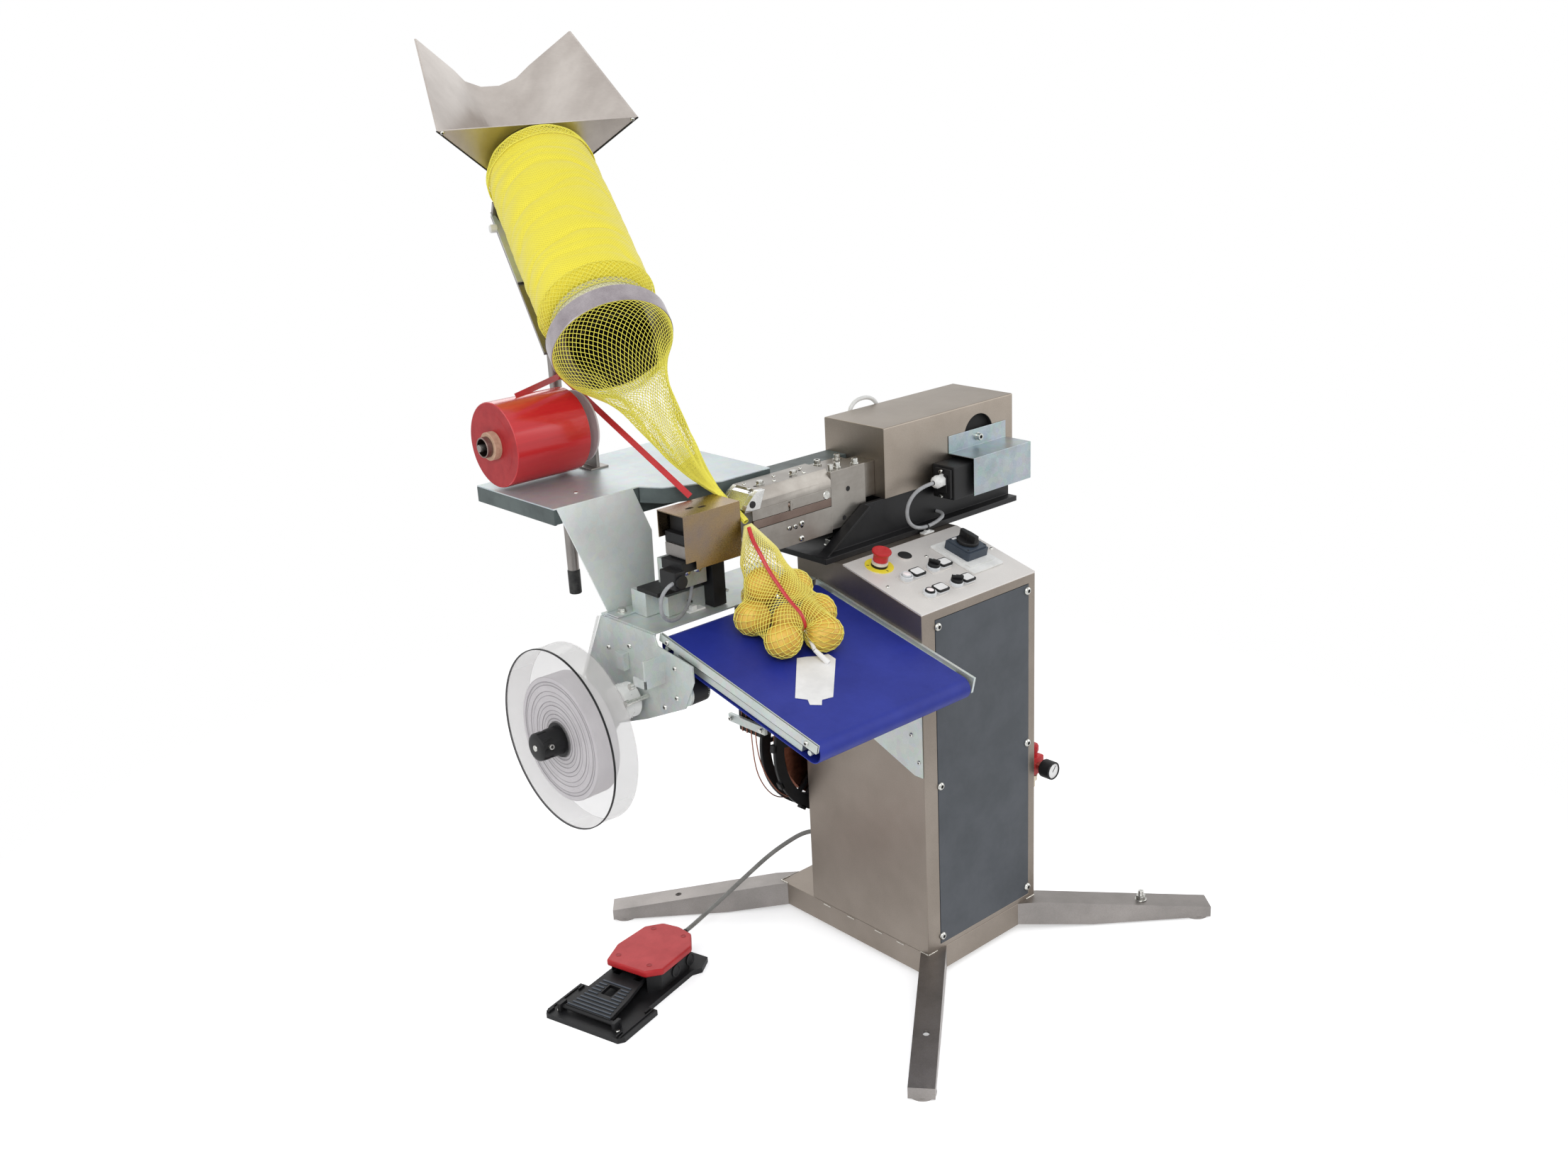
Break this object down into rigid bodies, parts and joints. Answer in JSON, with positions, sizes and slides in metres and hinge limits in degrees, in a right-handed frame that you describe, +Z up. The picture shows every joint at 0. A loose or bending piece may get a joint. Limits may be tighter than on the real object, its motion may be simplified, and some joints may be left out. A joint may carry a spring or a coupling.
{
  "type": "potato packing machine",
  "caption": "Free-standing net bag clipping machine: steel column on splayed legs, clipper arm, sloping hopper with net tube, short belt, label unit, reels and foot pedal.",
  "frame": {"origin": "middle of the part's outline seen from above, cables left out, on the floor", "axes": "+Z up; the operator stands on the -Y side; +X runs from the label reel towards the column and clipper housing"},
  "size_m": [1.2803, 1.5735, 1.9185],
  "materials": {
    "stainless": "satin",
    "galvanised": "satin",
    "machined_steel": "satin",
    "bronze_steel": "satin",
    "dark_panel": "satin",
    "panel_grey": "satin",
    "black_steel": "satin",
    "green_steel": "satin",
    "black_plastic": "matte",
    "grey_plastic": "matte",
    "red_plastic": "gloss",
    "cable_jacket": "matte",
    "belt_blue": "satin",
    "net_yellow": "matte",
    "red_ribbon": "gloss",
    "clear_plastic": "gloss",
    "white_plastic": "matte"
  },
  "bodies": {
    "machine": {"arm_jaw": "machined_steel", "arm_joint": "machined_steel", "arm_lower": "machined_steel", "arm_upper": "machined_steel", "bag_tag": "white_plastic", "base_frame": "stainless", "clipper_bracket": "black_steel", "clipper_housing": "stainless", "coil_cover": "galvanised", "column_shell": "stainless", "control_panel": "panel_grey", "conveyor_belt": "belt_blue", "conveyor_frame": "galvanised", "front_panel": "dark_panel", "head_body": "black_plastic", "head_cover": "bronze_steel", "hopper": "stainless", "label_frame": "galvanised", "leg_front_left": "stainless", "leg_front_right": "stainless", "leg_rear_left": "stainless", "leg_rear_right": "stainless", "main_switch": "grey_plastic", "mast": "stainless", "net_bag": "net_yellow", "net_magazine": "net_yellow", "net_ring": "stainless", "net_sleeve": "net_yellow", "net_tube": "stainless", "pedal_base": "black_plastic", "pedal_cable": "cable_jacket", "pedal_hood": "red_plastic", "pressure_regulator": "black_plastic", "rear_plate": "galvanised", "ribbon_stand": "galvanised", "ribbon_tape": "red_ribbon", "side_plate": "stainless", "solenoid": "black_plastic", "solenoid_cable": "cable_jacket", "spool_stand": "black_plastic", "table_frame": "green_steel", "table_sheet": "galvanised", "wire_guide": "black_plastic"},
    "label_reel": {"label_reel": "clear_plastic"},
    "ribbon_reel": {"ribbon_reel": "red_ribbon"},
    "wire_spool": {"wire_spool": "black_plastic"},
    "feed_wheel": {"feed_wheel": "white_plastic"},
    "lamp_button": {"lamp_button": "white_plastic"},
    "start_button": {"start_button": "black_plastic"},
    "selector_left": {"selector_left": "black_plastic"},
    "selector_right": {"selector_right": "black_plastic"},
    "estop_button": {"estop_button": "red_plastic"},
    "switch_handle": {"switch_handle": "black_plastic"},
    "pedal_treadle": {"pedal_treadle": "black_plastic"}
  },
  "joints": [
    {"name": "label_reel_turn", "type": "hinge", "parent": "machine", "child": "label_reel", "pos_m": [-0.514, -0.029, 0.596], "axis": [1, 0, 0], "continuous": true},
    {"name": "ribbon_reel_turn", "type": "hinge", "parent": "machine", "child": "ribbon_reel", "pos_m": [-0.425, 0.145, 1.161], "axis": [1, 0, 0], "continuous": true},
    {"name": "wire_spool_turn", "type": "hinge", "parent": "machine", "child": "wire_spool", "pos_m": [0.098, -0.119, 0.43], "axis": [0, 1, 0], "continuous": true},
    {"name": "feed_wheel_turn", "type": "hinge", "parent": "machine", "child": "feed_wheel", "pos_m": [-0.458, -0.143, 0.684], "axis": [1, 0, 0], "continuous": true},
    {"name": "lamp_button_press", "type": "slide", "parent": "machine", "child": "lamp_button", "axis": [0, 0.2574, -0.9663], "range_m": [0, 0.003], "stiffness_N_per_m": 400},
    {"name": "start_button_press", "type": "slide", "parent": "machine", "child": "start_button", "axis": [0, 0.2574, -0.9663], "range_m": [0, 0.003], "stiffness_N_per_m": 400},
    {"name": "estop_press", "type": "slide", "parent": "machine", "child": "estop_button", "axis": [0, 0.2574, -0.9663], "range_m": [0, 0.005]},
    {"name": "selector_left_turn", "type": "hinge", "parent": "machine", "child": "selector_left", "pos_m": [0.145, -0.40287, 0.8536], "axis": [0, -0.2574, 0.9663], "range_deg": [-45, 45]},
    {"name": "selector_right_turn", "type": "hinge", "parent": "machine", "child": "selector_right", "pos_m": [0.141, -0.46858, 0.8361], "axis": [0, -0.2574, 0.9663], "range_deg": [-45, 45]},
    {"name": "switch_handle_turn", "type": "hinge", "parent": "machine", "child": "switch_handle", "pos_m": [0.251, -0.39418, 0.85592], "axis": [0, -0.2574, 0.9663], "range_deg": [-90, 0]},
    {"name": "treadle_press", "type": "hinge", "parent": "machine", "child": "pedal_treadle", "pos_m": [-0.59106, -0.10853, 0.022], "axis": [-0.2588, 0.9659, 0], "range_deg": [0, 5], "stiffness_Nm_per_rad": 6}
  ]
}
